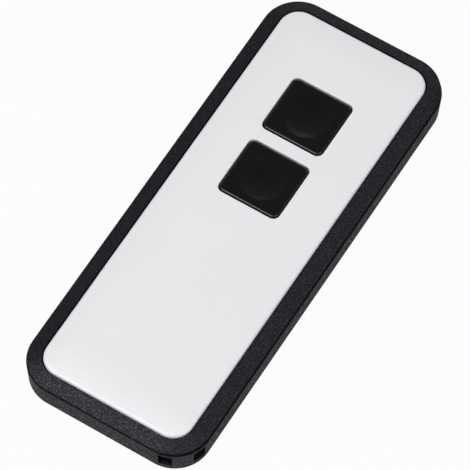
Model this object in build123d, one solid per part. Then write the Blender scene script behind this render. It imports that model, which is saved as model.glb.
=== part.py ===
import math
import os

from build123d import *

# Slim two-button garage door remote. Millimetres, +Z up, flat back at z = 0.
# +Y is the end with the buttons, and the key ring post is in the +X -Y corner.

# Case outline, seen from above
case_width = 37.85
case_length = 96.65
case_corner = 7.5

# Heights above the flat back
seam_height = 5.9
plate_edge_height = 7.75
plate_crown = 1.0

# Sloping rim of the front frame
rim_side = 3.205
rim_end = 2.955
rim_edge = 0.12
rim_break = 0.1
rim_drop = 0.2

# Groove along the joint of the two shells, and the step of the rear shell's long sides
seam_width = 0.8
seam_depth = 0.7
shell_step = 0.24
shell_draft = 3.0
shell_bottom_round = 0.35

# Walls
floor = 1.2
case_wall = 1.7
fit = 0.15
slack = 0.05
level = 0.001

# White front plate
plate_gap = 0.3
plate_corner = 4.1
plate_wall = 1.2
plate_side = 1.35
plate_break = 0.65
roll_width = 7.0
roll_corner = 1.5
roll_steps = 6
ledge_width = 1.4
ledge_thickness = 1.0
peg_radius = 0.5
peg_spacing = 36.0

# Buttons and their windows
window_width = 13.2
window_height = 13.05
window_corner = 1.35
window_break = 0.2
lower_button_y = 9.33
button_pitch = 15.8
button_gap = 0.25
button_break = 0.45
button_skirt = 1.0
button_roof = 1.05
button_pip_radius = 1.6
flange_reach = 0.8
flange_thickness = 0.55
dish_radius = 4.6
dish_depth = 0.45
button_travel = 0.35

# Coin cell of the common 20 by 3.2 size, under the board
cell_radius = 10.0
cell_height = 3.2
cell_y = -20.0
cell_step_radius = 8.8
cell_step = 0.25
cell_edge_break = 0.3
contact_room = 0.65
leaf_thickness = 0.2
positive_leaf_width = 4.0
positive_leaf_set_out = 1.2
negative_leaf_width = 5.0
negative_leaf_reach = 5.0
negative_leaf_knee = 3.25
negative_leaf_flat = 0.75

# Bayonet cap that closes the cell's opening in the back
cap_recess = 0.1
cap_flange = 0.55
cap_overlap = 1.4
cap_wall = 0.75
cell_play = 0.2
cap_rise = 0.6
lug_count = 3
lug_angle = 22.0
lug_reach = 1.15
lug_thickness = 0.53
lug_play = 2.0
stop_angle = 4.0
cap_turn = 50.0
coin_slot_width = 1.9
coin_slot_length = 16.0
coin_slot_depth = 0.6
well_wall = 1.0
well_rib = 1.0
well_ribs = 6

# Circuit board
board_thickness = 0.8
board_gap = 0.5
board_corner = 1.0
board_top_room = 1.3
board_bottom_room = 3.3
board_post_side = 3.3
board_post_end = 3.6
board_post_radius = 1.6
board_peg_radius = 0.75
board_peg_height = 0.3
support_end = 9.6
support_pitch = 13.0
support_count = 3
last_support_end = 3.1
support_thickness = 1.0
support_reach = 1.0
clamp_positions = [32.0, 10.0, -20.0]
clamp_length = 4.0
clamp_height = 0.7

# Low tactile switch under each button
switch_size = 5.2
switch_base_height = 0.9
switch_height = 1.5
switch_cavity_radius = 2.2
cover_width = 3.6
cover_thickness = 0.15
cover_leg = 0.6
cover_leg_width = 2.6
dome_radius = 2.0
dome_thickness = 0.06
plunger_radius = 1.25
plunger_foot_radius = 1.7
plunger_foot = 0.2
terminal_width = 0.7
terminal_reach = 0.8
terminal_pitch = 3.2

# Key ring slots through the wall of the corner
slot_width = 2.65
slot_angle = 19.3
slot_bottom = 1.52
slot_top = 4.98
key_passage = 2.6
key_wall = 1.0

# Three screws through the back
screw_x = 11.0
screw_inset = 5.4
screw_head_radius = 1.8
screw_head_height = 1.2
screw_recess = 0.3
screw_radius = 0.82
screw_length = 5.3
screw_slot_length = 2.2
screw_slot_width = 0.45
screw_slot_depth = 0.6
pilot_clearance = 0.03
seat_wall = 0.8
seat_thickness = 1.2
screw_hole_radius = 1.15
boss_radius = 2.1

# Parts soldered to the underside of the board, placed from its top end and its sides
chip_length = 9.9
chip_width = 3.9
chip_height = 1.5
chip_end = 15.6
lead_count = 8
lead_pitch = 1.27
lead_width = 0.4
lead_thickness = 0.2
lead_reach = 1.05
lead_rise = 0.75
transmitter_size = 4.0
transmitter_height = 0.9
transmitter_side = 5.8
transmitter_end = 12.6
crystal_length = 5.0
crystal_width = 3.2
crystal_height = 1.2
crystal_side = 6.3
crystal_end = 19.6
resonator_radius = 4.6
resonator_height = 3.0
resonator_flange = 0.45
resonator_side = 6.8
resonator_end = 29.6
buffer_length = 3.5
buffer_width = 2.8
buffer_height = 1.9
buffer_side = 5.8
buffer_end = 35.6
chip_part_length = 1.6
chip_part_width = 0.8
chip_part_pitch = 3.2
chip_part_count = 5
chip_part_room = 1.65
column_pitch = 3.5
capacitor_end = 5.6
resistor_end = 9.6
capacitor_height = 0.8
resistor_height = 0.45
antenna_radius = 0.4
antenna_drop = 2.2
antenna_bend = 1.0
antenna_end = 1.7
antenna_room = 2.5

# Heights that follow from the sizes above
case_height = plate_edge_height + plate_crown
frame_under = seam_height + seam_width / 2
shell_top = seam_height - seam_width / 2
ledge_top = plate_edge_height - plate_side - slack
ledge_bottom = ledge_top - ledge_thickness
cell_bottom = floor + 2 * slack
cell_top = cell_bottom + cell_height
board_bottom = cell_top + contact_room
board_top = board_bottom + board_thickness
plunger_top = board_top + switch_height
plate_under = case_height - plate_wall
flange_top = plate_under - 2 * slack
dome_rise = button_travel
switch_cavity_depth = plunger_foot + dome_rise + 3 * slack
seat_top = screw_recess + screw_head_height + seat_thickness

# Outlines that follow from the sizes above
plate_width = case_width - 2 * rim_side
plate_length = case_length - 2 * rim_end
opening_width = plate_width - 2 * ledge_width
opening_length = plate_length - 2 * ledge_width
board_width = opening_width - 2 * board_gap
upper_button_y = lower_button_y + button_pitch
button_width = window_width - 2 * button_gap
button_height = window_height - 2 * button_gap
cap_ring_inner = cell_radius + cell_play
cap_ring_outer = cap_ring_inner + cap_wall
cap_opening = cap_ring_outer + fit
cap_flange_radius = cap_opening + cap_overlap - fit
well_inner = cap_ring_outer + lug_reach + 2 * fit
well_outer = well_inner + well_wall
key_x = case_width / 2 - case_corner
key_y = case_corner - case_length / 2
screw_y = case_length / 2 - screw_inset
screw_places = [(-screw_x, screw_y), (screw_x, screw_y), (0.0, -screw_y)]
board_top_y = screw_y - boss_radius - board_top_room
board_bottom_y = boss_radius + board_bottom_room - screw_y
board_side = board_width / 2
board_post_x = board_side - board_post_side
board_post_y = board_top_y - board_post_end
support_positions = [board_top_y - support_end - index * support_pitch for index in range(support_count)]
support_positions.append(board_bottom_y + last_support_end)
capacitor_x = chip_width / 2 + slack + lead_reach + chip_part_room + chip_part_length / 2
chip_y = board_top_y - chip_end
transmitter_place = (transmitter_side - board_side, board_top_y - transmitter_end)
crystal_place = (crystal_side - board_side, board_top_y - crystal_end)
resonator_place = (resonator_side - board_side, board_top_y - resonator_end)
buffer_place = (board_side - buffer_side, board_top_y - buffer_end)
capacitor_place = (capacitor_x, board_top_y - capacitor_end)
resistor_place = (capacitor_x + column_pitch, board_top_y - resistor_end)
antenna_y = board_top_y - antenna_end
antenna_half_width = board_post_x - antenna_room


def slab(width, length, corner, bottom, top):
    """A plate with rounded corners between two heights."""
    return Pos(0, 0, bottom) * extrude(RectangleRounded(width, length, corner), top - bottom)


def inset_slab(inset, bottom, top):
    """The case outline drawn in by one distance, between two heights."""
    return slab(case_width - 2 * inset, case_length - 2 * inset, case_corner - inset, bottom, top)


def block(width, length, bottom, top, x=0.0, y=0.0):
    """A rectangular block centred on a point."""
    return Pos(x, y, (bottom + top) / 2) * Box(width, length, top - bottom)


def rod(radius, bottom, top, x=0.0, y=0.0):
    """An upright cylinder centred on a point."""
    return Pos(x, y, (bottom + top) / 2) * Cylinder(radius, top - bottom)


def ring(outer, inner, bottom, top, x=0.0, y=0.0):
    """An upright tube centred on a point."""
    return rod(outer, bottom, top, x, y) - rod(inner, bottom, top, x, y)


def crowned(inset, lowering, bottom):
    """The body under the plate's rolled surface, drawn in and lowered to give its inside."""
    roll_radius = (roll_width ** 2 + plate_crown ** 2) / (2 * plate_crown)
    sections = []
    for step in range(roll_steps + 1):
        run = inset + (roll_width - inset) * step / roll_steps
        fall = roll_radius - math.sqrt(roll_radius ** 2 - (roll_width - run) ** 2)
        corner = plate_corner - (plate_corner - roll_corner) * run / roll_width
        outline = RectangleRounded(plate_width - 2 * run, plate_length - 2 * run, corner)
        sections.append(Pos(0, 0, case_height - lowering - fall) * outline)
    edge_height = sections[0].center().Z
    first_corner = plate_corner - (plate_corner - roll_corner) * inset / roll_width
    base = slab(plate_width - 2 * inset, plate_length - 2 * inset, first_corner, bottom, edge_height)
    return base + loft(sections)


def top_edges(solid, height):
    """The edges that lie flat at one height."""
    return solid.edges().filter_by_position(Axis.Z, height - level, height + level)


def front_plate():
    """White crowned plate with a window for each button and pegs into the frame's ledge."""
    plate = crowned(0, 0, ledge_top + slack)
    plate = fillet(top_edges(plate, plate_edge_height), plate_break)
    plate = plate - crowned(plate_wall, plate_wall, ledge_top - plate_side)
    for y in (lower_button_y, upper_button_y):
        window = slab(window_width, window_height, window_corner, ledge_top, case_height + plate_crown)
        plate = plate - Pos(0, y, 0) * window
    rims = top_edges(plate, case_height).filter_by(lambda edge: abs(edge.center().X) < window_width)
    plate = fillet(rims, window_break)
    for x in (-1, 1):
        for y in (-peg_spacing, 0, peg_spacing):
            peg_x = x * (plate_width - plate_wall) / 2
            plate = plate + rod(peg_radius, ledge_bottom, ledge_top + slack, peg_x, y)
    return plate


def front_frame():
    """Black frame: sloping rim, ledge for the plate, board clamps and screw bosses."""
    window_x = plate_width + 2 * plate_gap
    window_y = plate_length + 2 * plate_gap
    window_r = plate_corner + plate_gap
    outline = Pos(0, 0, frame_under + rim_edge) * RectangleRounded(case_width, case_length, case_corner)
    crest = Pos(0, 0, plate_edge_height - rim_drop) * RectangleRounded(window_x, window_y, window_r)
    frame = inset_slab(0, frame_under, frame_under + rim_edge) + loft([outline, crest], ruled=True)
    frame = fillet(top_edges(frame, frame_under + rim_edge), rim_break)
    frame = frame + inset_slab(case_wall + fit, ledge_bottom, frame_under)
    frame = frame - slab(window_x, window_y, window_r, ledge_top, case_height)
    inner_corner = plate_corner - ledge_width
    frame = frame - slab(opening_width, opening_length, inner_corner, ledge_bottom - fit, case_height)
    for side in (-1, 1):
        for y in (-peg_spacing, 0, peg_spacing):
            peg_x = side * (plate_width - plate_wall) / 2
            frame = frame - rod(peg_radius + slack, ledge_bottom - fit, case_height, peg_x, y)
        for y in clamp_positions:
            reach = board_gap + support_reach
            clamp_x = side * (opening_width / 2 - reach / 2 + slack)
            clamp = block(reach, clamp_length, board_top + slack, board_top + clamp_height, clamp_x, y)
            frame = frame + clamp
    for x, y in screw_places:
        frame = frame + rod(boss_radius, seat_top + slack, ledge_top, x, y)
        frame = frame - rod(screw_radius + pilot_clearance, seat_top, ledge_top - slack, x, y)
    return frame


def shell_body():
    """Outside of the rear shell, drafted towards the back, with a lip behind the groove."""
    lean = shell_top * math.tan(math.radians(shell_draft))
    mouth_width = case_width + 2 * shell_step
    foot = RectangleRounded(mouth_width - 2 * lean, case_length - 2 * lean, case_corner - lean)
    mouth = Pos(0, 0, shell_top) * RectangleRounded(mouth_width, case_length, case_corner)
    body = loft([foot, mouth], ruled=True)
    body = fillet(top_edges(body, 0), shell_bottom_round)
    return body + inset_slab(seam_depth, shell_top - fit, frame_under - slack)


def key_corner(shell):
    """Corner pocket behind two slots, which leaves a post for a key ring."""
    outer = case_corner - case_wall
    inner = outer - key_passage
    wall_top = ledge_bottom - slack
    quarter = block(case_corner, case_corner, floor - fit, wall_top,
                    key_x + case_corner / 2, key_y - case_corner / 2)
    shell = shell + (ring(inner, inner - key_wall, floor - fit, wall_top, key_x, key_y) & quarter)
    reach = key_passage + key_wall / 2 + fit
    middle = inner - key_wall / 2 + reach / 2
    shell = shell + block(key_wall, reach, floor - fit, wall_top, key_x - key_wall / 2, key_y - middle)
    shell = shell + block(reach, key_wall, floor - fit, wall_top, key_x + middle, key_y + key_wall / 2)
    for angle in (slot_angle - 90, -slot_angle):
        slot = block(2 * case_wall + fit, slot_width, slot_bottom, slot_top, case_corner - case_wall / 2)
        shell = shell - Pos(key_x, key_y, 0) * Rot(0, 0, angle) * slot
    return shell


def cell_well(shell):
    """Round well for the cell, with a ledge that the cap's lugs turn behind."""
    shell = shell - rod(cap_opening, -fit, floor + fit, 0, cell_y)
    shell = shell - rod(cap_flange_radius + fit, -fit, cap_recess + cap_flange + slack, 0, cell_y)
    shell = shell + ring(well_outer, well_inner, floor - fit, board_bottom - slack, 0, cell_y)
    rib_reach = well_inner - cap_ring_inner
    rib_bottom = floor + cap_rise + 3 * slack
    for index in range(well_ribs):
        rib = block(rib_reach + fit, well_rib, rib_bottom, board_bottom - slack,
                    well_inner - rib_reach / 2 + fit / 2)
        shell = shell + Pos(0, cell_y, 0) * Rot(0, 0, index * 360 / well_ribs) * rib
    for index in range(lug_count):
        middle = index * 360 / lug_count
        notch = lug(cap_opening - fit, cap_ring_outer + lug_reach + fit, lug_angle + 2 * lug_play,
                    0, floor + slack)
        shell = shell - Pos(0, cell_y, 0) * Rot(0, 0, middle - cap_turn) * notch
        stop = lug(cap_opening + fit, well_inner + fit, stop_angle, floor - fit, floor + lug_thickness)
        stop_turn = middle + lug_angle / 2 + lug_play / 2 + stop_angle / 2
        shell = shell + Pos(0, cell_y, 0) * Rot(0, 0, stop_turn) * stop
    return shell


def lug(inner, outer, angle, bottom, top):
    """A stretch of a ring, centred on +X."""
    arc = Pos(0, 0, bottom) * extrude(Circle(outer) - Circle(inner), top - bottom)
    half = math.radians(angle / 2)
    far = 2 * outer
    wedge = Polyline((0, 0), (far, -far * math.tan(half)), (far, far * math.tan(half)), close=True)
    return arc & (Pos(0, 0, bottom) * extrude(make_face(wedge), top - bottom))


def board_supports(shell):
    """Ribs along the walls and posts with pegs, which carry the board."""
    inner_x = board_width / 2 - support_reach
    outer_x = case_width / 2 - case_wall
    for side in (-1, 1):
        for y in support_positions:
            near = block(support_reach + board_gap, support_thickness, floor - fit, board_bottom,
                         side * (inner_x + (support_reach + board_gap) / 2), y)
            far = block(outer_x - inner_x + fit, support_thickness, floor - fit, ledge_bottom - slack,
                        side * (inner_x + outer_x + fit) / 2, y)
            shell = shell + near + far
        post_x = side * board_post_x
        shell = shell + rod(board_post_radius, floor - fit, board_bottom, post_x, board_post_y)
        peg_top = board_top + board_peg_height
        shell = shell + rod(board_peg_radius, board_bottom, peg_top, post_x, board_post_y)
    return shell


def screw_seats(shell):
    """Counterbored seats for the three screws."""
    head_top = screw_recess + screw_head_height
    for x, y in screw_places:
        shell = shell + rod(screw_head_radius + fit + seat_wall, floor - fit, seat_top, x, y)
        shell = shell - rod(screw_head_radius + fit, -fit, head_top, x, y)
        shell = shell - rod(screw_hole_radius, head_top, seat_top, x, y)
    return shell


def rear_shell():
    """Black rear shell: drafted wall, flat floor, cell well, key ring corner, screw seats."""
    shell = shell_body() - inset_slab(case_wall, floor, case_height)
    shell = board_supports(shell)
    shell = screw_seats(shell)
    shell = cell_well(shell)
    return key_corner(shell)


def battery_cap():
    """Round cap with a coin slot, a ring round the cell and lugs that lock behind the ledge."""
    flange_top_z = cap_recess + cap_flange
    disc = rod(cap_flange_radius, cap_recess, flange_top_z)
    disc = chamfer(top_edges(disc, cap_recess), fit)
    cap = disc + rod(cap_ring_outer, flange_top_z, cell_bottom - slack)
    cap = cap + ring(cap_ring_outer, cap_ring_inner, flange_top_z, floor + cap_rise)
    for index in range(lug_count):
        tab = lug(cap_ring_inner + fit, cap_ring_outer + lug_reach, lug_angle,
                  floor + slack, floor + slack + lug_thickness)
        cap = cap + Rot(0, 0, index * 360 / lug_count) * tab
    groove = SlotOverall(coin_slot_length, coin_slot_width)
    cap = cap - Pos(0, 0, cap_recess) * extrude(groove, coin_slot_depth)
    return Pos(0, cell_y, 0) * cap


def coin_cell():
    """Coin cell: wide can below, smaller negative cap on top."""
    can = rod(cell_radius, cell_bottom, cell_top - cell_step)
    can = chamfer(top_edges(can, cell_bottom) + top_edges(can, cell_top - cell_step), cell_edge_break)
    cap = rod(cell_step_radius, cell_top - cell_step - slack, cell_top)
    return Pos(0, cell_y, 0) * (can + cap)


def leaf(points, bends, width, plane):
    """A sprung metal strip bent along a path and as wide as given."""
    path = FilletPolyline(*points, radius=bends)
    strip = extrude(plane * trace(path, line_width=leaf_thickness), width / 2, both=True)
    return strip


def positive_contact():
    """Strip that hangs from the board and bears on the side of the cell."""
    seat = board_bottom - leaf_thickness / 2
    near = cell_radius + slack + leaf_thickness / 2
    far = near + positive_leaf_set_out
    waist = (cell_bottom + cell_top) / 2
    foot = waist - cell_height / 4
    points = [(far + leaf_thickness, seat), (far - leaf_thickness, seat), (near + slack, waist),
              (near + positive_leaf_set_out / 2, foot)]
    return Pos(0, cell_y, 0) * leaf(points, leaf_thickness, positive_leaf_width, Plane.YZ)


def negative_contact():
    """Bowed strip under the board that bears on the middle of the cell."""
    seat = board_bottom - leaf_thickness / 2
    dip = cell_top + slack + leaf_thickness / 2
    half = [(negative_leaf_flat, dip), (negative_leaf_knee, seat), (negative_leaf_reach, seat)]
    points = [(-x, z) for x, z in reversed(half)] + half
    return Pos(0, cell_y, 0) * leaf(points, leaf_thickness / 2, negative_leaf_width, Plane.XZ)


def button(y):
    """Dished button with a flange under the plate and a pip over its switch."""
    cap = slab(button_width, button_height, window_corner - button_gap, plate_under, case_height)
    cap = fillet(top_edges(cap, case_height), button_break)
    dish_sphere = (dish_radius ** 2 + dish_depth ** 2) / (2 * dish_depth)
    cap = cap - Pos(0, 0, case_height - dish_depth + dish_sphere) * Sphere(dish_sphere)
    flange_bottom = flange_top - flange_thickness
    cap = cap + slab(button_width, button_height, window_corner - button_gap, flange_bottom, plate_under)
    cap = cap + slab(button_width + 2 * flange_reach, button_height + 2 * flange_reach,
                     window_corner, flange_bottom, flange_top)
    pocket_width = button_width - 2 * button_skirt
    pocket_height = button_height - 2 * button_skirt
    cap = cap - slab(pocket_width, pocket_height, window_corner / 2,
                     flange_bottom, case_height - button_roof)
    pip = rod(button_pip_radius, plunger_top + slack, case_height - button_roof)
    return Pos(0, y, 0) * (cap + pip)


def switch_base(y):
    """Moulded base of a switch, with a round cavity for its dome."""
    base = block(switch_size, switch_size, board_top, board_top + switch_base_height)
    base = chamfer(base.edges().filter_by(Axis.Z), switch_size / 10)
    top = board_top + switch_base_height
    return Pos(0, y, 0) * (base - rod(switch_cavity_radius, top - switch_cavity_depth, top))


def switch_cover(y):
    """Steel cover over a switch, folded down on two sides."""
    bottom = board_top + switch_base_height
    side = switch_size / 2
    cover = block(cover_width, switch_size, bottom, bottom + cover_thickness)
    for sign in (-1, 1):
        cover = cover + block(cover_leg_width, cover_thickness, bottom - cover_leg,
                              bottom + cover_thickness, 0, sign * (side + cover_thickness / 2))
    cover = cover - rod(plunger_radius + slack, bottom, bottom + cover_thickness)
    return Pos(0, y, 0) * cover


def switch_dome(y):
    """Snap dome that returns the plunger."""
    seat = board_top + switch_base_height - switch_cavity_depth + slack / 2
    outer = (dome_radius ** 2 + dome_rise ** 2) / (2 * dome_rise)
    centre = Pos(0, 0, seat + dome_rise - outer)
    shell = centre * Sphere(outer) - centre * Sphere(outer - dome_thickness)
    return Pos(0, y, 0) * (shell & rod(dome_radius, seat, seat + dome_rise + slack))


def switch_plunger(y):
    """Plunger that stands on the dome and reaches up to the button."""
    foot_top = board_top + switch_base_height - slack / 2
    plunger = rod(plunger_foot_radius, foot_top - plunger_foot, foot_top)
    stem = rod(plunger_radius, foot_top, plunger_top)
    stem = fillet(top_edges(stem, plunger_top), 2 * slack)
    return Pos(0, y, 0) * (plunger + stem)


def switch_terminals():
    """Four bent terminals beside each switch."""
    rise = board_top + switch_base_height / 2
    inner = switch_size / 2 + slack / 2
    thickness = cover_thickness
    terminals = []
    for y in (lower_button_y, upper_button_y):
        for side in (-1, 1):
            for end in (-1, 1):
                place_y = y + end * terminal_pitch / 2
                upright = block(thickness, terminal_width, board_top, rise,
                                side * (inner + thickness / 2), place_y)
                foot = block(terminal_reach, terminal_width, board_top, board_top + thickness,
                             side * (inner + terminal_reach / 2), place_y)
                terminals.append(upright + foot)
    return Compound(children=terminals)


def circuit_board():
    """Board with holes for the shell's pegs."""
    length = board_top_y - board_bottom_y
    middle = (board_top_y + board_bottom_y) / 2
    board = Pos(0, middle, 0) * slab(board_width, length, board_corner, board_bottom, board_top)
    for side in (-1, 1):
        hole = rod(board_peg_radius + slack, board_bottom, board_top, side * board_post_x, board_post_y)
        board = board - hole
    return board


def hanging(width, length, height, place, gap=0.0):
    """A block on the underside of the board."""
    return block(width, length, board_bottom - gap - height, board_bottom - gap, *place)


def controller_chip():
    """Moulded body of the controller."""
    body = hanging(chip_width, chip_length, chip_height, (0, chip_y), 2 * slack)
    return chamfer(body.edges().filter_by(Axis.Z), 2 * slack)


def chip_leads():
    """Bent leads along both sides of the controller."""
    leads = []
    for side in (-1, 1):
        for index in range(lead_count):
            y = chip_y + (index - (lead_count - 1) / 2) * lead_pitch
            inner = side * (chip_width / 2 + slack)
            profile = Polyline(
                (inner, board_bottom - lead_rise),
                (inner + side * lead_reach / 3, board_bottom - lead_rise),
                (inner + side * lead_reach / 2, board_bottom - lead_thickness / 2),
                (inner + side * lead_reach, board_bottom - lead_thickness / 2))
            strip = Plane.XZ * trace(profile, line_width=lead_thickness)
            leads.append(Pos(0, y, 0) * extrude(strip, lead_width / 2, both=True))
    return Compound(children=leads)


def transmitter_chip():
    """Square flat package of the transmitter."""
    return hanging(transmitter_size, transmitter_size, transmitter_height, transmitter_place)


def crystal_can():
    """Crystal in a flat can with rounded corners."""
    can = hanging(crystal_length, crystal_width, crystal_height, crystal_place)
    return fillet(can.edges().filter_by(Axis.Z), crystal_width / 8)


def resonator_can():
    """Round resonator can on its flange."""
    flange = rod(resonator_radius, board_bottom - resonator_flange, board_bottom)
    wall_radius = resonator_radius - resonator_flange
    can = rod(wall_radius, board_bottom - resonator_height, board_bottom - resonator_flange)
    can = chamfer(top_edges(can, board_bottom - resonator_height), resonator_flange / 2)
    return Pos(*resonator_place, 0) * (flange + can)


def buffer_capacitor():
    """Larger capacitor that carries the cell's load peaks."""
    body = hanging(buffer_length, buffer_width, buffer_height, buffer_place)
    return chamfer(body.edges().filter_by(Axis.Z), buffer_width / 10)


def chip_parts(height, place):
    """A column of small two-ended parts."""
    column = []
    for index in range(chip_part_count):
        spot = (place[0], place[1] - index * chip_part_pitch)
        column.append(hanging(chip_part_length, chip_part_width, height, spot))
    return Compound(children=column)


def antenna_wire():
    """Bent wire aerial soldered at both ends near the board's edge."""
    start = board_bottom
    low = board_bottom - antenna_drop
    half = antenna_half_width
    path = FilletPolyline((-half, antenna_y, start), (-half, antenna_y, low),
                          (half, antenna_y, low), (half, antenna_y, start), radius=antenna_bend)
    return sweep(Plane((-half, antenna_y, start), z_dir=(0, 0, -1)) * Circle(antenna_radius), path)


def case_screws():
    """Pan-head screws, heads towards the back."""
    screws = []
    head_top = screw_recess + screw_head_height
    for x, y in screw_places:
        head = rod(screw_head_radius, screw_recess, head_top)
        head = chamfer(top_edges(head, screw_recess), screw_head_height / 4)
        for turn in (0, 90):
            slot = block(screw_slot_length, screw_slot_width, screw_recess, screw_recess + screw_slot_depth)
            head = head - Rot(0, 0, turn) * slot
        shank = rod(screw_radius, head_top, head_top + screw_length - screw_head_height)
        shank = chamfer(top_edges(shank, head_top + screw_length - screw_head_height), screw_radius / 3)
        screws.append(Pos(x, y, 0) * (head + shank))
    return Compound(children=screws)


parts = {
    "rear_shell": rear_shell(),
    "front_frame": front_frame(),
    "front_plate": front_plate(),
    "upper_button": button(upper_button_y),
    "lower_button": button(lower_button_y),
    "upper_switch_base": switch_base(upper_button_y),
    "lower_switch_base": switch_base(lower_button_y),
    "upper_switch_cover": switch_cover(upper_button_y),
    "lower_switch_cover": switch_cover(lower_button_y),
    "upper_switch_dome": switch_dome(upper_button_y),
    "lower_switch_dome": switch_dome(lower_button_y),
    "upper_switch_plunger": switch_plunger(upper_button_y),
    "lower_switch_plunger": switch_plunger(lower_button_y),
    "switch_terminals": switch_terminals(),
    "circuit_board": circuit_board(),
    "controller_chip": controller_chip(),
    "chip_leads": chip_leads(),
    "transmitter_chip": transmitter_chip(),
    "crystal_can": crystal_can(),
    "resonator_can": resonator_can(),
    "buffer_capacitor": buffer_capacitor(),
    "chip_capacitors": chip_parts(capacitor_height, capacitor_place),
    "chip_resistors": chip_parts(resistor_height, resistor_place),
    "antenna_wire": antenna_wire(),
    "coin_cell": coin_cell(),
    "positive_contact": positive_contact(),
    "negative_contact": negative_contact(),
    "battery_cap": battery_cap(),
    "case_screws": case_screws(),
}

os.makedirs("parts", exist_ok=True)
for node, solid in parts.items():
    export_step(solid, f"parts/{node}.step")
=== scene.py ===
import math

import bmesh
import bpy
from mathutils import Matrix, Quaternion, Vector


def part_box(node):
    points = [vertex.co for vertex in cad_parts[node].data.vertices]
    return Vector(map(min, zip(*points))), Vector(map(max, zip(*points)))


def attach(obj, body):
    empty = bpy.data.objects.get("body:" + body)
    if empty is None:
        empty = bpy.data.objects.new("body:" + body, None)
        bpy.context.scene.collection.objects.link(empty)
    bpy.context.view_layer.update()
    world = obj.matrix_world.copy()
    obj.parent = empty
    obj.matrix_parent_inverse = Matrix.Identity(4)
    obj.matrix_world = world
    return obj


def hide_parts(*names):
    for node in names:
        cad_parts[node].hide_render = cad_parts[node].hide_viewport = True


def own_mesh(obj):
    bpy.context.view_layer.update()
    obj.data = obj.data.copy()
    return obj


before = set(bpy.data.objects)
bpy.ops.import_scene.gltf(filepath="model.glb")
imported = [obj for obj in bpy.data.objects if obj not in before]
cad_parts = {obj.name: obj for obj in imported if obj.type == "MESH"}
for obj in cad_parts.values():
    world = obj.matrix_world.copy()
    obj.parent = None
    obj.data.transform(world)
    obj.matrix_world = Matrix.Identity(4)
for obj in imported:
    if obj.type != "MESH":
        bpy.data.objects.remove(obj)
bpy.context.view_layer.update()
print("Frame loaded with", len(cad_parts), "nodes")

mmPerMetre = 1000
usualNoise = (0.3, 0.7)  # most values of a noise pattern lie between these
# places of the Mix node's sockets, which share their names
firstValue = 2
secondValue = 3
firstColour = 6
secondColour = 7
mixedColour = 2


def toLinear(code):
    # sRGB hex to the linear colour that a shader takes, by the sRGB standard's own curve
    channels = [int(code[start:start + 2], 16) / 255 for start in (0, 2, 4)]
    linear = [c / 12.92 if c <= 0.04045 else ((c + 0.055) / 1.055) ** 2.4 for c in channels]
    return (*linear, 1.0)


def fillInputs(tree, node, inputs):
    # a value or a link for each of the node's inputs that is named
    for key, value in inputs.items():
        if isinstance(value, bpy.types.NodeSocket):
            tree.links.new(value, node.inputs[key])
        else:
            node.inputs[key].default_value = value


def addNode(tree, kind, settings, inputs):
    # one node with its settings and its inputs
    node = tree.nodes.new("ShaderNode" + kind)
    for name, value in settings.items():
        setattr(node, name, value)
    fillInputs(tree, node, inputs)
    return node


def startMaterial(name, values):
    # an empty material, its surface shader with the plain values set on it, and the object's coordinates
    material = bpy.data.materials.new(name)
    material.use_nodes = True
    tree = material.node_tree
    tree.nodes.clear()
    surface = addNode(tree, "BsdfPrincipled", {}, values)
    addNode(tree, "OutputMaterial", {}, {"Surface": surface.outputs["BSDF"]})
    place = addNode(tree, "TexCoord", {}, {}).outputs["Object"]
    return material, tree, surface, place


def perMillimetre(size):
    # texture scale for a pattern that repeats every so many millimetres
    return mmPerMetre / size


# Black ABS moulded against spark-eroded steel: a fine even pebble that breaks the light into tiny glints,
# a little smoother along the edges, where hands and pockets rub
shellFinish = {
    "colour": "060609",
    # paleColour: pebble tops painted paler, partly the grain's own tone and partly painted glints
    "paleColour": "28282e",
    "sheenTint": "f0f0ff",
    "roughness": (0.5, 0.58),
    "grainRoughness": 0.4,  # the tops of the pebble are smoother by this, so they glint
    "rubbedRoughness": 0.28,
    "specular": 0.29,
    "grainMm": 0.32,  # real sparks leave about 0.15 mm, drawn coarser so that it shows
    "grainDepthMm": 0.12,
    "patchMm": 5.0,
    "edgeMm": 0.16,
    "pebbleTop": (0.49, 0.64),  # grain values from a pebble's foot to its top
    "patchSpread": (0.35, 0.65),  # patch values from dull to duller
    "rubbedTurn": (0.99, 0.9),  # cosine between the face and its softened edge, from plain to rubbed
}


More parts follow.
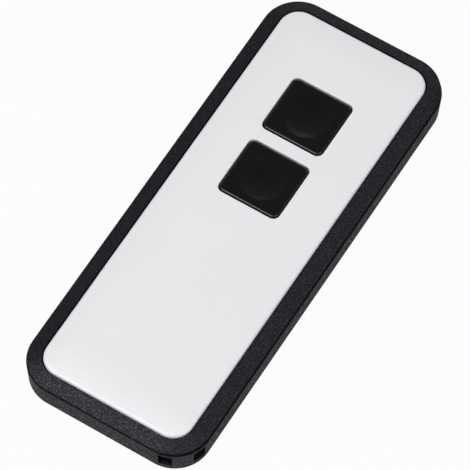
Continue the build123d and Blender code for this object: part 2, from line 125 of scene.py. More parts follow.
def sparkErodedAbs():
    f = shellFinish
    material, tree, surface, place = startMaterial("sparkErodedBlackAbs", {
        "IOR": 1.5, "Specular IOR Level": f["specular"], "Specular Tint": toLinear(f["sheenTint"])})
    grain = addNode(tree, "TexNoise", {}, {
        "Vector": place, "Scale": perMillimetre(f["grainMm"]), "Detail": 2.0, "Roughness": 0.6})
    patches = addNode(tree, "TexNoise", {}, {
        "Vector": place, "Scale": perMillimetre(f["patchMm"]), "Detail": 3.0})
    speckle = addNode(tree, "MapRange", {}, {
        "Value": grain.outputs["Fac"],
        "From Min": f["pebbleTop"][0], "From Max": f["pebbleTop"][1]})
    # pebble tops painted paler: partly grain tone, partly painted glints beside the real ones from their
    # smoother gloss
    colour = addNode(tree, "Mix", {"data_type": "RGBA"}, {
        "Factor": speckle.outputs["Result"],
        firstColour: toLinear(f["colour"]), secondColour: toLinear(f["paleColour"])})
    softEdge = addNode(tree, "Bevel", {"samples": 4}, {"Radius": f["edgeMm"] / mmPerMetre})
    flat = addNode(tree, "NewGeometry", {}, {}).outputs["Normal"]
    turn = addNode(tree, "VectorMath", {"operation": "DOT_PRODUCT"}, {
        0: softEdge.outputs["Normal"], 1: flat})
    rubbed = addNode(tree, "MapRange", {}, {
        "Value": turn.outputs["Value"],
        "From Min": f["rubbedTurn"][0], "From Max": f["rubbedTurn"][1]})
    rough = addNode(tree, "MapRange", {}, {
        "Value": patches.outputs["Fac"],
        "From Min": f["patchSpread"][0], "From Max": f["patchSpread"][1],
        "To Min": f["roughness"][0], "To Max": f["roughness"][1]})
    pitted = addNode(tree, "Math", {"operation": "MULTIPLY_ADD"}, {
        0: speckle.outputs["Result"], 1: -f["grainRoughness"], 2: rough.outputs["Result"]})
    worn = addNode(tree, "Mix", {"data_type": "FLOAT"}, {
        "Factor": rubbed.outputs["Result"],
        firstValue: pitted.outputs[0], secondValue: f["rubbedRoughness"]})
    bump = addNode(tree, "Bump", {}, {
        "Height": grain.outputs["Fac"], "Strength": 1.0, "Distance": f["grainDepthMm"] / mmPerMetre,
        "Normal": softEdge.outputs["Normal"]})
    fillInputs(tree, surface, {
        "Base Color": colour.outputs[mixedColour], "Roughness": worn.outputs[0],
        "Normal": bump.outputs["Normal"]})
    return material


# White ABS from a satin-polished mould: even, cool white, with the faint orange peel of a cooled skin
plateFinish = {
    "colour": "e9e7ea",
    "shadeColour": "e4e4e7",
    "roughness": (0.22, 0.3),
    "peelMm": 1.6,
    "peelDepthMm": 0.0012,
    "grainMm": 0.25,
    "patchMm": 14.0,
}


def satinWhiteAbs():
    f = plateFinish
    material, tree, surface, place = startMaterial("satinMouldedWhiteAbs", {"IOR": 1.5})
    patches = addNode(tree, "TexNoise", {}, {
        "Vector": place, "Scale": perMillimetre(f["patchMm"]), "Detail": 2.0})
    peel = addNode(tree, "TexNoise", {}, {
        "Vector": place, "Scale": perMillimetre(f["peelMm"]), "Detail": 2.0})
    grain = addNode(tree, "TexNoise", {}, {
        "Vector": place, "Scale": perMillimetre(f["grainMm"]), "Detail": 1.0})
    colour = addNode(tree, "Mix", {"data_type": "RGBA"}, {
        "Factor": patches.outputs["Fac"],
        firstColour: toLinear(f["colour"]), secondColour: toLinear(f["shadeColour"])})
    rough = addNode(tree, "MapRange", {}, {
        "Value": grain.outputs["Fac"], "From Min": usualNoise[0], "From Max": usualNoise[1],
        "To Min": f["roughness"][0], "To Max": f["roughness"][1]})
    bump = addNode(tree, "Bump", {}, {
        "Height": peel.outputs["Fac"], "Strength": 1.0, "Distance": f["peelDepthMm"] / mmPerMetre})
    fillInputs(tree, surface, {
        "Base Color": colour.outputs[mixedColour], "Roughness": rough.outputs["Result"],
        "Normal": bump.outputs["Normal"]})
    return material


# Black ABS from a mirror-polished mould: deep and glossy, with finger smears that only change the gloss
buttonFinish = {
    "colour": "0c0c0e",
    "paleColour": "111113",
    "roughness": (0.11, 0.19),
    "specular": 0.43,
    "smearMm": 3.5,
    "edgeMm": 0.1,
}


def polishedBlackAbs():
    f = buttonFinish
    material, tree, surface, place = startMaterial("polishedBlackAbs", {
        "IOR": 1.5, "Specular IOR Level": f["specular"]})
    smears = addNode(tree, "TexNoise", {}, {
        "Vector": place, "Scale": perMillimetre(f["smearMm"]), "Detail": 4.0, "Distortion": 0.8})
    colour = addNode(tree, "Mix", {"data_type": "RGBA"}, {
        "Factor": smears.outputs["Fac"],
        firstColour: toLinear(f["colour"]), secondColour: toLinear(f["paleColour"])})
    rough = addNode(tree, "MapRange", {}, {
        "Value": smears.outputs["Fac"], "From Min": usualNoise[0], "From Max": usualNoise[1],
        "To Min": f["roughness"][0], "To Max": f["roughness"][1]})
    softEdge = addNode(tree, "Bevel", {"samples": 4}, {"Radius": f["edgeMm"] / mmPerMetre})
    fillInputs(tree, surface, {
        "Base Color": colour.outputs[mixedColour], "Roughness": rough.outputs["Result"],
        "Normal": softEdge.outputs["Normal"]})
    return material


# Black glass-filled nylon, moulded: dull, with pale fibre flecks in the skin
nylonFinish = {
    "colour": "1b1b1c",
    "fleckColour": "3a3a3b",
    "roughness": (0.42, 0.6),
    "fleckMm": 0.12,
    "flowMm": 0.9,
    "fleckDepthMm": 0.004,
    "fleckReach": (0.22, 0.08),  # distance from a fibre's middle, from hidden to plain
}


def mouldedNylon():
    f = nylonFinish
    material, tree, surface, place = startMaterial("mouldedBlackNylon", {"IOR": 1.53})
    flecks = addNode(tree, "TexVoronoi", {}, {
        "Vector": place, "Scale": perMillimetre(f["fleckMm"])})
    flow = addNode(tree, "TexNoise", {}, {
        "Vector": place, "Scale": perMillimetre(f["flowMm"]), "Detail": 3.0, "Distortion": 0.6})
    shown = addNode(tree, "MapRange", {}, {
        "Value": flecks.outputs["Distance"],
        "From Min": f["fleckReach"][0], "From Max": f["fleckReach"][1]})
    colour = addNode(tree, "Mix", {"data_type": "RGBA"}, {
        "Factor": shown.outputs["Result"],
        firstColour: toLinear(f["colour"]), secondColour: toLinear(f["fleckColour"])})
    rough = addNode(tree, "MapRange", {}, {
        "Value": flow.outputs["Fac"], "From Min": usualNoise[0], "From Max": usualNoise[1],
        "To Min": f["roughness"][0], "To Max": f["roughness"][1]})
    bump = addNode(tree, "Bump", {}, {
        "Height": flecks.outputs["Distance"], "Strength": 1.0, "Distance": f["fleckDepthMm"] / mmPerMetre})
    fillInputs(tree, surface, {
        "Base Color": colour.outputs[mixedColour], "Roughness": rough.outputs["Result"],
        "Normal": bump.outputs["Normal"]})
    return material


# Natural acetal, moulded: milky ivory that lets a little light in, with a waxy gloss and faint flow clouds
acetalFinish = {
    "colour": "ded8c8",
    "cloudColour": "cfc8b4",
    "roughness": (0.25, 0.38),
    "cloudMm": 0.8,
    "skinMm": 0.15,
    "skinDepthMm": 0.001,
    "lightDepthMm": 0.4,
}


def mouldedAcetal():
    f = acetalFinish
    material, tree, surface, place = startMaterial("mouldedAcetal", {
        "IOR": 1.48, "Subsurface Weight": 0.15, "Subsurface Radius": (1.0, 0.9, 0.7),
        "Subsurface Scale": f["lightDepthMm"] / mmPerMetre})
    clouds = addNode(tree, "TexNoise", {}, {
        "Vector": place, "Scale": perMillimetre(f["cloudMm"]), "Detail": 3.0, "Distortion": 0.4})
    skin = addNode(tree, "TexNoise", {}, {
        "Vector": place, "Scale": perMillimetre(f["skinMm"]), "Detail": 2.0})
    colour = addNode(tree, "Mix", {"data_type": "RGBA"}, {
        "Factor": clouds.outputs["Fac"],
        firstColour: toLinear(f["colour"]), secondColour: toLinear(f["cloudColour"])})
    rough = addNode(tree, "MapRange", {}, {
        "Value": skin.outputs["Fac"], "From Min": usualNoise[0], "From Max": usualNoise[1],
        "To Min": f["roughness"][0], "To Max": f["roughness"][1]})
    bump = addNode(tree, "Bump", {}, {
        "Height": skin.outputs["Fac"], "Strength": 1.0, "Distance": f["skinDepthMm"] / mmPerMetre})
    fillInputs(tree, surface, {
        "Base Color": colour.outputs[mixedColour], "Roughness": rough.outputs["Result"],
        "Normal": bump.outputs["Normal"]})
    return material


# Steel, stamped or turned, then zinc plated: cool grey with a broken crystal sheen, duller where handled
zincFinish = {
    "colour": "b9bcc0",
    "dullColour": "92959a",
    "roughness": (0.24, 0.4),
    "crystalMm": 0.28,
    "handledMm": 1.6,
    "toolMarkMm": 0.07,
    "toolMarkDepthMm": 0.0015,
    "edgeMm": 0.06,
    "unevenSpread": (0.4, 1.6),  # crystals and handling added up
}


def zincPlatedSteel():
    f = zincFinish
    material, tree, surface, place = startMaterial("zincPlatedSteel", {"Metallic": 1.0})
    crystals = addNode(tree, "TexVoronoi", {}, {
        "Vector": place, "Scale": perMillimetre(f["crystalMm"])})
    sheen = addNode(tree, "SeparateColor", {}, {"Color": crystals.outputs["Color"]}).outputs["Red"]
    handled = addNode(tree, "TexNoise", {}, {
        "Vector": place, "Scale": perMillimetre(f["handledMm"]), "Detail": 4.0})
    toolMarks = addNode(tree, "TexNoise", {}, {
        "Vector": place, "Scale": perMillimetre(f["toolMarkMm"]), "Detail": 1.0})
    colour = addNode(tree, "Mix", {"data_type": "RGBA"}, {
        "Factor": handled.outputs["Fac"],
        firstColour: toLinear(f["colour"]), secondColour: toLinear(f["dullColour"])})
    uneven = addNode(tree, "Math", {"operation": "ADD"}, {0: sheen, 1: handled.outputs["Fac"]})
    rough = addNode(tree, "MapRange", {}, {
        "Value": uneven.outputs[0],
        "From Min": f["unevenSpread"][0], "From Max": f["unevenSpread"][1],
        "To Min": f["roughness"][0], "To Max": f["roughness"][1]})
    softEdge = addNode(tree, "Bevel", {"samples": 4}, {"Radius": f["edgeMm"] / mmPerMetre})
    bump = addNode(tree, "Bump", {}, {
        "Height": toolMarks.outputs["Fac"], "Strength": 1.0, "Distance": f["toolMarkDepthMm"] / mmPerMetre,
        "Normal": softEdge.outputs["Normal"]})
    fillInputs(tree, surface, {
        "Base Color": colour.outputs[mixedColour], "Roughness": rough.outputs["Result"],
        "Normal": bump.outputs["Normal"]})
    return material


# Spring steel strip, cold rolled: warm grey, with fine lines along the rolling direction
springFinish = {
    "colour": "b4b1aa",
    "lineColour": "9c9992",
    "roughness": (0.18, 0.34),
    "lineMm": 0.05,
    "lineStretch": 14.0,
    "lineDepthMm": 0.0012,
}


def rolledSpringSteel():
    f = springFinish
    material, tree, surface, place = startMaterial("rolledSpringSteel", {"Metallic": 1.0})
    along = addNode(tree, "Mapping", {}, {"Vector": place, "Scale": (1 / f["lineStretch"], 1.0, 1.0)})
    lines = addNode(tree, "TexNoise", {}, {
        "Vector": along.outputs["Vector"], "Scale": perMillimetre(f["lineMm"]), "Detail": 3.0})
    colour = addNode(tree, "Mix", {"data_type": "RGBA"}, {
        "Factor": lines.outputs["Fac"],
        firstColour: toLinear(f["colour"]), secondColour: toLinear(f["lineColour"])})
    rough = addNode(tree, "MapRange", {}, {
        "Value": lines.outputs["Fac"], "From Min": usualNoise[0], "From Max": usualNoise[1],
        "To Min": f["roughness"][0], "To Max": f["roughness"][1]})
    bump = addNode(tree, "Bump", {}, {
        "Height": lines.outputs["Fac"], "Strength": 1.0, "Distance": f["lineDepthMm"] / mmPerMetre})
    fillInputs(tree, surface, {
        "Base Color": colour.outputs[mixedColour], "Roughness": rough.outputs["Result"],
        "Normal": bump.outputs["Normal"]})
    return material


# Nickel-plated steel of the cell, spun on its face: bright, with fine rings round its middle
cellFinish = {
    "colour": "c9c7c1",
    "ringColour": "b3b1ab",
    "roughness": (0.14, 0.3),
    "ringMm": 0.09,
    "ringDepthMm": 0.001,
    "smudgeMm": 4.0,
    "unevenSpread": (0.7, 1.3),  # rings and smudges added up
}


def spunNickelSteel():
    f = cellFinish
    material, tree, surface, place = startMaterial("spunNickelPlatedSteel", {"Metallic": 1.0})
    low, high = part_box("coin_cell")
    middle = [(a + b) / 2 for a, b in zip(low, high)]
    fromMiddle = addNode(tree, "VectorMath", {"operation": "SUBTRACT"}, {0: place, 1: middle})
    # the height is left out, so that the rings run round the cell's own axis
    flat = addNode(tree, "VectorMath", {"operation": "MULTIPLY"}, {0: fromMiddle.outputs[0], 1: (1, 1, 0)})
    radius = addNode(tree, "VectorMath", {"operation": "LENGTH"}, {0: flat.outputs[0]})
    rings = addNode(tree, "TexNoise", {"noise_dimensions": "1D"}, {
        "W": radius.outputs["Value"], "Scale": perMillimetre(f["ringMm"]), "Detail": 2.0})
    smudges = addNode(tree, "TexNoise", {}, {
        "Vector": place, "Scale": perMillimetre(f["smudgeMm"]), "Detail": 4.0, "Distortion": 0.5})
    colour = addNode(tree, "Mix", {"data_type": "RGBA"}, {
        "Factor": rings.outputs["Fac"],
        firstColour: toLinear(f["colour"]), secondColour: toLinear(f["ringColour"])})
    uneven = addNode(tree, "Math", {"operation": "ADD"}, {
        0: rings.outputs["Fac"], 1: smudges.outputs["Fac"]})
    rough = addNode(tree, "MapRange", {}, {
        "Value": uneven.outputs[0],
        "From Min": f["unevenSpread"][0], "From Max": f["unevenSpread"][1],
        "To Min": f["roughness"][0], "To Max": f["roughness"][1]})
    bump = addNode(tree, "Bump", {}, {
        "Height": rings.outputs["Fac"], "Strength": 1.0, "Distance": f["ringDepthMm"] / mmPerMetre})
    fillInputs(tree, surface, {
        "Base Color": colour.outputs[mixedColour], "Roughness": rough.outputs["Result"],
        "Normal": bump.outputs["Normal"]})
    return material


# Copper alloy leads dipped in tin: soft silver, wavy where the tin ran and set
tinFinish = {
    "colour": "c8cacb",
    "dullColour": "a9abad",
    "roughness": (0.2, 0.36),
    "runMm": 0.35,
    "runDepthMm": 0.006,
    "grainMm": 0.08,
}


def dippedTin():
    f = tinFinish
    material, tree, surface, place = startMaterial("dippedTin", {"Metallic": 1.0})
    runs = addNode(tree, "TexNoise", {}, {
        "Vector": place, "Scale": perMillimetre(f["runMm"]), "Detail": 2.0, "Distortion": 0.7})
    grain = addNode(tree, "TexNoise", {}, {
        "Vector": place, "Scale": perMillimetre(f["grainMm"]), "Detail": 1.0})
    colour = addNode(tree, "Mix", {"data_type": "RGBA"}, {
        "Factor": grain.outputs["Fac"],
        firstColour: toLinear(f["colour"]), secondColour: toLinear(f["dullColour"])})
    rough = addNode(tree, "MapRange", {}, {
        "Value": grain.outputs["Fac"], "From Min": usualNoise[0], "From Max": usualNoise[1],
        "To Min": f["roughness"][0], "To Max": f["roughness"][1]})
    bump = addNode(tree, "Bump", {}, {
        "Height": runs.outputs["Fac"], "Strength": 1.0, "Distance": f["runDepthMm"] / mmPerMetre})
    fillInputs(tree, surface, {
        "Base Color": colour.outputs[mixedColour], "Roughness": rough.outputs["Result"],
        "Normal": bump.outputs["Normal"]})
    return material


# Glass-epoxy laminate under a cured green mask: copper tracks show raised and paler, the weave as a grid
boardFinish = {
    "colour": "123d22",
    "trackColour": "23683a",
    "roughness": 0.24,
    "weaveRoughness": 0.34,
    "trackMm": 1.27,
    "tracksApart": 3,
    "trackEdge": (0.07, 0.05),  # distance from a route's line, from bare board to track
    "straying": 0.55,
    "trackDepthMm": 0.03,
    "weaveMm": 0.4,
    "weaveDepthMm": 0.002,
}


def maskedLaminate():
    f = boardFinish
    material, tree, surface, place = startMaterial("greenMaskedLaminate", {"IOR": 1.54})
    routes = addNode(tree, "TexVoronoi", {"feature": "DISTANCE_TO_EDGE"}, {
        "Vector": place, "Scale": perMillimetre(f["tracksApart"] * f["trackMm"]),
        "Randomness": f["straying"]})
    tracks = addNode(tree, "MapRange", {}, {
        "Value": routes.outputs["Distance"],
        "From Min": f["trackEdge"][0], "From Max": f["trackEdge"][1]})
    weave = addNode(tree, "TexChecker", {}, {"Vector": place, "Scale": perMillimetre(f["weaveMm"])})
    colour = addNode(tree, "Mix", {"data_type": "RGBA"}, {
        "Factor": tracks.outputs["Result"],
        firstColour: toLinear(f["colour"]), secondColour: toLinear(f["trackColour"])})
    rough = addNode(tree, "MapRange", {}, {
        "Value": weave.outputs["Fac"], "To Min": f["roughness"], "To Max": f["weaveRoughness"]})
    trackBump = addNode(tree, "Bump", {}, {
        "Height": tracks.outputs["Result"], "Strength": 1.0, "Distance": f["trackDepthMm"] / mmPerMetre})
    bump = addNode(tree, "Bump", {}, {
        "Height": weave.outputs["Fac"], "Strength": 1.0, "Distance": f["weaveDepthMm"] / mmPerMetre,
        "Normal": trackBump.outputs["Normal"]})
    fillInputs(tree, surface, {
        "Base Color": colour.outputs[mixedColour], "Roughness": rough.outputs["Result"],
        "Normal": bump.outputs["Normal"]})
    return material


# Filled black epoxy, transfer moulded: dead matt, with a fine mineral grain
epoxyFinish = {
    "colour": "1a1a1b",
    "grainColour": "29292a",
    "roughness": (0.6, 0.78),
    "grainMm": 0.1,
    "grainDepthMm": 0.006,
    "patchMm": 1.2,
}


def mouldedEpoxy():
    f = epoxyFinish
    material, tree, surface, place = startMaterial("mouldedBlackEpoxy", {"IOR": 1.55})
    grain = addNode(tree, "TexNoise", {}, {
        "Vector": place, "Scale": perMillimetre(f["grainMm"]), "Detail": 3.0, "Roughness": 0.7})
    patches = addNode(tree, "TexNoise", {}, {
        "Vector": place, "Scale": perMillimetre(f["patchMm"]), "Detail": 2.0})
    colour = addNode(tree, "Mix", {"data_type": "RGBA"}, {
        "Factor": grain.outputs["Fac"],
        firstColour: toLinear(f["colour"]), secondColour: toLinear(f["grainColour"])})
    rough = addNode(tree, "MapRange", {}, {
        "Value": patches.outputs["Fac"], "From Min": usualNoise[0], "From Max": usualNoise[1],
        "To Min": f["roughness"][0], "To Max": f["roughness"][1]})
    bump = addNode(tree, "Bump", {}, {
        "Height": grain.outputs["Fac"], "Strength": 1.0, "Distance": f["grainDepthMm"] / mmPerMetre})
    fillInputs(tree, surface, {
        "Base Color": colour.outputs[mixedColour], "Roughness": rough.outputs["Result"],
        "Normal": bump.outputs["Normal"]})
    return material


# Orange pigmented epoxy of the larger capacitor, moulded: even, slightly glossy, clouded by the pigment
orangeFinish = {
    "colour": "c9862a",
    "cloudColour": "b27320",
    "roughness": (0.36, 0.5),
    "cloudMm": 0.7,
    "grainMm": 0.12,
    "grainDepthMm": 0.003,
}


def mouldedOrangeEpoxy():
    f = orangeFinish
    material, tree, surface, place = startMaterial("mouldedOrangeEpoxy", {"IOR": 1.55})
    clouds = addNode(tree, "TexNoise", {}, {
        "Vector": place, "Scale": perMillimetre(f["cloudMm"]), "Detail": 3.0, "Distortion": 0.5})
    grain = addNode(tree, "TexNoise", {}, {
        "Vector": place, "Scale": perMillimetre(f["grainMm"]), "Detail": 2.0})
    colour = addNode(tree, "Mix", {"data_type": "RGBA"}, {
        "Factor": clouds.outputs["Fac"],
        firstColour: toLinear(f["colour"]), secondColour: toLinear(f["cloudColour"])})
    rough = addNode(tree, "MapRange", {}, {
        "Value": grain.outputs["Fac"], "From Min": usualNoise[0], "From Max": usualNoise[1],
        "To Min": f["roughness"][0], "To Max": f["roughness"][1]})
    bump = addNode(tree, "Bump", {}, {
        "Height": grain.outputs["Fac"], "Strength": 1.0, "Distance": f["grainDepthMm"] / mmPerMetre})
    fillInputs(tree, surface, {
        "Base Color": colour.outputs[mixedColour], "Roughness": rough.outputs["Result"],
        "Normal": bump.outputs["Normal"]})
    return material


# Fired ceramic of the chip capacitors, cut and tumbled: buff, faintly speckled, with tinned ends
ceramicFinish = {
    "colour": "b7967a",
    "speckColour": "9c7c62",
    "endColour": "c4c5c6",
    "roughness": (0.3, 0.46),
    "speckMm": 0.06,
    "endShare": 0.2,
    "middle": 0.5,  # share of the length at which one end mirrors the other
    "speckDepthMm": 0.002,
}


def firedCeramic():
    f = ceramicFinish
    material, tree, surface, place = startMaterial("firedCeramic", {"IOR": 1.6})
    share = addNode(tree, "TexCoord", {}, {}).outputs["Generated"]
    across = addNode(tree, "SeparateXYZ", {}, {"Vector": share}).outputs["X"]
    fromEnd = addNode(tree, "Math", {"operation": "PINGPONG"}, {0: across, 1: f["middle"]})
    tinned = addNode(tree, "Math", {"operation": "LESS_THAN"}, {0: fromEnd.outputs[0], 1: f["endShare"]})
    specks = addNode(tree, "TexNoise", {}, {
        "Vector": place, "Scale": perMillimetre(f["speckMm"]), "Detail": 2.0})
    body = addNode(tree, "Mix", {"data_type": "RGBA"}, {
        "Factor": specks.outputs["Fac"],
        firstColour: toLinear(f["colour"]), secondColour: toLinear(f["speckColour"])})
    colour = addNode(tree, "Mix", {"data_type": "RGBA"}, {
        "Factor": tinned.outputs[0],
        firstColour: body.outputs[mixedColour], secondColour: toLinear(f["endColour"])})
    rough = addNode(tree, "MapRange", {}, {
        "Value": specks.outputs["Fac"], "From Min": usualNoise[0], "From Max": usualNoise[1],
        "To Min": f["roughness"][0], "To Max": f["roughness"][1]})
    bump = addNode(tree, "Bump", {}, {
        "Height": specks.outputs["Fac"], "Strength": 1.0, "Distance": f["speckDepthMm"] / mmPerMetre})
    fillInputs(tree, surface, {
        "Base Color": colour.outputs[mixedColour], "Metallic": tinned.outputs[0],
        "Roughness": rough.outputs["Result"], "Normal": bump.outputs["Normal"]})
    return material


# Copper wire drawn through a die: salmon metal with fine lines along it, browner where air has reached it
copperFinish = {
    "colour": "c98a6a",
    "tarnishColour": "8f5a41",
    "roughness": (0.2, 0.4),
    "tarnishMm": 1.4,
    "tarnishSpread": (0.45, 0.7),  # patch values from bright to brown
    "drawLineMm": 0.06,
    "drawLineStretch": 20.0,
    "drawLineDepthMm": 0.001,
}


def drawnCopper():
    f = copperFinish
    material, tree, surface, place = startMaterial("drawnCopper", {"Metallic": 1.0})
    tarnish = addNode(tree, "TexNoise", {}, {
        "Vector": place, "Scale": perMillimetre(f["tarnishMm"]), "Detail": 4.0})
    along = addNode(tree, "Mapping", {}, {"Vector": place, "Scale": (1 / f["drawLineStretch"], 1.0, 1.0)})
    lines = addNode(tree, "TexNoise", {}, {
        "Vector": along.outputs["Vector"], "Scale": perMillimetre(f["drawLineMm"]), "Detail": 2.0})
    aged = addNode(tree, "MapRange", {}, {
        "Value": tarnish.outputs["Fac"],
        "From Min": f["tarnishSpread"][0], "From Max": f["tarnishSpread"][1]})
    colour = addNode(tree, "Mix", {"data_type": "RGBA"}, {
        "Factor": aged.outputs["Result"],
        firstColour: toLinear(f["colour"]), secondColour: toLinear(f["tarnishColour"])})
    rough = addNode(tree, "MapRange", {}, {
        "Value": lines.outputs["Fac"], "From Min": usualNoise[0], "From Max": usualNoise[1],
        "To Min": f["roughness"][0], "To Max": f["roughness"][1]})
    bump = addNode(tree, "Bump", {}, {
        "Height": lines.outputs["Fac"], "Strength": 1.0, "Distance": f["drawLineDepthMm"] / mmPerMetre})
    fillInputs(tree, surface, {
        "Base Color": colour.outputs[mixedColour], "Roughness": rough.outputs["Result"],
        "Normal": bump.outputs["Normal"]})
    return material


# One material for each slot of the frame
finishes = {
    "shell_plastic": sparkErodedAbs(),
    "plate_plastic": satinWhiteAbs(),
    "button_plastic": polishedBlackAbs(),
    "switch_plastic": mouldedNylon(),
    "plunger_plastic": mouldedAcetal(),
    "plated_steel": zincPlatedSteel(),
    "spring_steel": rolledSpringSteel(),
    "cell_steel": spunNickelSteel(),
    "tinned_metal": dippedTin(),
    "board_laminate": maskedLaminate(),
    "chip_resin": mouldedEpoxy(),
    "capacitor_resin": mouldedOrangeEpoxy(),
    "ceramic": firedCeramic(),
    "copper_wire": drawnCopper(),
}
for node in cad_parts.values():
    for slot in node.material_slots:
        kind = slot.material.name.split(".")[0]
        if kind in finishes:
            slot.material = finishes[kind]
print("Materials given to", len(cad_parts), "nodes")


# Snap domes: thin spring discs that flatten under their plungers; each is built here as a piece of its own
snapDome = {
    "thicknessMm": 0.06,
    "rings": 12,
    "around": 64,
    "mergeMm": 0.0001,
    "sharpAngle": 35,
    "keep": 0.25,  # share of the rise left when the button is right down
}


def addSnapDome(switch):
    d = snapDome
    low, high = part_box(switch + "_switch_dome")
    centreX = (low[0] + high[0]) / 2
    centreY = (low[1] + high[1]) / 2
    radius = (high[0] - low[0]) / 2
    rise = high[2] - low[2]
    # two balls with one centre give the outer and the inner face
    outer = (radius ** 2 + rise ** 2) / (2 * rise)
    inner = outer - d["thicknessMm"] / mmPerMetre
    sphereZ = high[2] - outer
    innerRadius = math.sqrt(inner ** 2 - (low[2] - sphereZ) ** 2)
    profile = []
    for ball, reach in ((outer, radius), (inner, innerRadius)):
        arc = [reach * step / d["rings"] for step in range(d["rings"] + 1)]
        profile.append([(out, sphereZ + math.sqrt(ball ** 2 - out ** 2)) for out in arc])
    loop = profile[0] + profile[1][::-1]
    mesh = bmesh.new()
    spokes = [mesh.verts.new((centreX + out, centreY, up)) for out, up in loop]
    edges = [mesh.edges.new(pair) for pair in zip(spokes, spokes[1:])]
    bmesh.ops.spin(mesh, geom=spokes + edges, cent=(centreX, centreY, 0), axis=(0, 0, 1),
                   angle=2 * math.pi, steps=d["around"], use_merge=True)
    bmesh.ops.remove_doubles(mesh, verts=mesh.verts, dist=d["mergeMm"] / mmPerMetre)
    bmesh.ops.recalc_face_normals(mesh, faces=mesh.faces)
    data = bpy.data.meshes.new(switch + "SnapDome")
    mesh.to_mesh(data)
    mesh.free()
    data.polygons.foreach_set("use_smooth", [True] * len(data.polygons))
    data.set_sharp_from_angle(angle=math.radians(d["sharpAngle"]))
    data.materials.append(finishes["spring_steel"])
    piece = bpy.data.objects.new(switch + "SnapDome", data)
    bpy.context.scene.collection.objects.link(piece)
    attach(piece, "case")
    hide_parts(switch + "_switch_dome")
    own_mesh(piece)


for switch in ("upper", "lower"):
    addSnapDome(switch)
print("Snap domes set in their switches")


# Round white table whose edge curves up into a low backdrop: sizes in metres
table = {
    "radius": 2.5,
    "height": 0.5,
    "cove": 0.3,
    "coveSteps": 8,
    "around": 96,
    "below": 0.00002,
    "colour": "bcbcbc",
    "plainWhite": 0.96,  # share of plain white that the camera sees in it
    "reflectedWhite": 0.05,  # share of it that gloss and glass see, on top of the lit card
}


def whiteTable():
    t = table
    profile = [(0.0, 0.0), (t["radius"] - t["cove"], 0.0)]
    for step in range(1, t["coveSteps"] + 1):
        turn = math.radians(90 * step / t["coveSteps"])
        profile.append((t["radius"] - t["cove"] * (1 - math.sin(turn)), t["cove"] * (1 - math.cos(turn))))
    profile.append((t["radius"], t["height"]))
    points = []
    for index in range(t["around"]):
        angle = 2 * math.pi * index / t["around"]
        for out, up in profile[1:]:
            points.append((out * math.cos(angle), out * math.sin(angle), up - t["below"]))
    rows = len(profile) - 1
    faces = [[index * rows for index in range(t["around"])]]
    for index in range(t["around"]):
        following = (index + 1) % t["around"]
        for row in range(rows - 1):
            faces.append([index * rows + row, following * rows + row,
                          following * rows + row + 1, index * rows + row + 1])
    mesh = bpy.data.meshes.new("whiteTable")
    mesh.from_pydata(points, [], faces)
    mesh.polygons.foreach_set("use_smooth", [False] + [True] * (len(faces) - 1))
    piece = bpy.data.objects.new("whiteTable", mesh)
    bpy.context.scene.collection.objects.link(piece)
    material = bpy.data.materials.new("whiteTableCard")
    material.use_nodes = True
    tree = material.node_tree
    tree.nodes.clear()
    card = addNode(tree, "BsdfDiffuse", {}, {"Color": toLinear(t["colour"])})
    white = addNode(tree, "Emission", {}, {"Color": (1, 1, 1, 1), "Strength": 1.0})
    path = addNode(tree, "LightPath", {}, {})
    direct = addNode(tree, "Math", {"operation": "MULTIPLY"}, {
        0: path.outputs["Is Camera Ray"], 1: t["plainWhite"]})
    mirrored = addNode(tree, "Math", {"operation": "MAXIMUM"}, {
        0: path.outputs["Is Glossy Ray"], 1: path.outputs["Is Transmission Ray"]})
    share = addNode(tree, "Math", {"operation": "MULTIPLY_ADD"}, {
        0: mirrored.outputs[0], 1: t["reflectedWhite"], 2: direct.outputs[0]})
    mixed = addNode(tree, "MixShader", {}, {
        "Fac": share.outputs[0], 1: card.outputs["BSDF"], 2: white.outputs["Emission"]})
    addNode(tree, "OutputMaterial", {}, {"Surface": mixed.outputs["Shader"]})
    mesh.materials.append(material)


whiteTable()

# Plain grey room, paler near the table, where white card stands round it, and dim overhead
room = {"lowGrey": 0.36, "highGrey": 0.08, "lowEnds": 0.15, "highStarts": 1.0}


def greyRoom():
    world = bpy.data.worlds.new("greyRoom")
    bpy.context.scene.world = world
    world.use_nodes = True
    tree = world.node_tree
    tree.nodes.clear()
    direction = addNode(tree, "TexCoord", {}, {}).outputs["Generated"]
    height = addNode(tree, "SeparateXYZ", {}, {"Vector": direction}).outputs["Z"]
    grey = addNode(tree, "MapRange", {}, {
        "Value": height, "From Min": room["lowEnds"], "From Max": room["highStarts"],
        "To Min": room["lowGrey"], "To Max": room["highGrey"]})
    sky = addNode(tree, "Background", {}, {"Color": (1, 1, 1, 1), "Strength": grey.outputs["Result"]})
    addNode(tree, "OutputWorld", {}, {"Surface": sky.outputs["Background"]})


greyRoom()

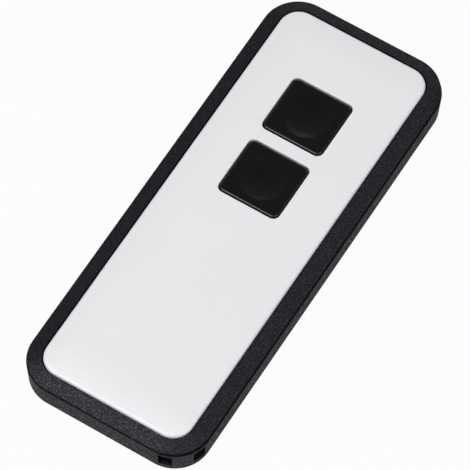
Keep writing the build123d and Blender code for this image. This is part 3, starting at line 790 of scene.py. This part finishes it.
# Soft boxes: direction from the object, distance and size in metres, radiance
softBoxes = {
    "frontLeft": {"towards": (-0.33, -0.53, 0.78), "distance": 1.0, "size": (0.75, 0.54), "radiance": 5.5},
    "overhead": {"towards": (0.1, -0.12, 0.99), "distance": 1.2, "size": (0.7, 0.5), "radiance": 1.6},
    "right": {"towards": (0.77, 0.0, 0.63), "distance": 1.2, "size": (1.0, 0.8), "radiance": 2.2},
    "back": {"towards": (-0.1, 0.85, 0.52), "distance": 1.2, "size": (1.2, 0.45), "radiance": 0.8},
}


def addSoftBox(name, box):
    width, height = box["size"]
    light = bpy.data.lights.new(name, "AREA")
    light.shape = "RECTANGLE"
    light.size = width
    light.size_y = height
    light.energy = box["radiance"] * math.pi * width * height  # watts that give that radiance
    lamp = bpy.data.objects.new(name, light)
    bpy.context.scene.collection.objects.link(lamp)
    towards = Vector(box["towards"]).normalized()
    lamp.location = towards * box["distance"]
    lamp.rotation_mode = "QUATERNION"
    lamp.rotation_quaternion = (-towards).to_track_quat("-Z", "Y")
    lamp.visible_camera = False


for name, box in softBoxes.items():
    addSoftBox(name, box)
print("Table, room and", len(softBoxes), "soft boxes set")

# Camera where the photographer stood: lengths in metres, angles in degrees, lens and sensor in millimetres
cameraSetup = {
    "aim": (0.001402, -0.00323, 0.0076),
    "distance": 0.83595,
    "fromFront": 30.333,
    "elevation": 61.285,
    "roll": 1.379,
    "lens": 344.68,
    "sensorWidth": 36,
    "nearClip": 0.05,
    "farClip": 20,
}


def placeCamera():
    c = cameraSetup
    around = math.radians(c["fromFront"])
    up = math.radians(c["elevation"])
    towards = Vector((math.sin(around) * math.cos(up), -math.cos(around) * math.cos(up), math.sin(up)))
    camera = bpy.data.objects.new("camera", bpy.data.cameras.new("camera"))
    bpy.context.scene.collection.objects.link(camera)
    camera.data.lens = c["lens"]
    camera.data.sensor_width = c["sensorWidth"]
    camera.data.clip_start = c["nearClip"]
    camera.data.clip_end = c["farClip"]
    camera.location = Vector(c["aim"]) + towards * c["distance"]
    camera.rotation_mode = "QUATERNION"
    roll = Quaternion((0, 0, 1), math.radians(c["roll"]))
    camera.rotation_quaternion = (-towards).to_track_quat("-Z", "Y") @ roll
    bpy.context.scene.camera = camera


placeCamera()
bpy.context.scene.view_settings.view_transform = "Standard"
print("Camera placed")
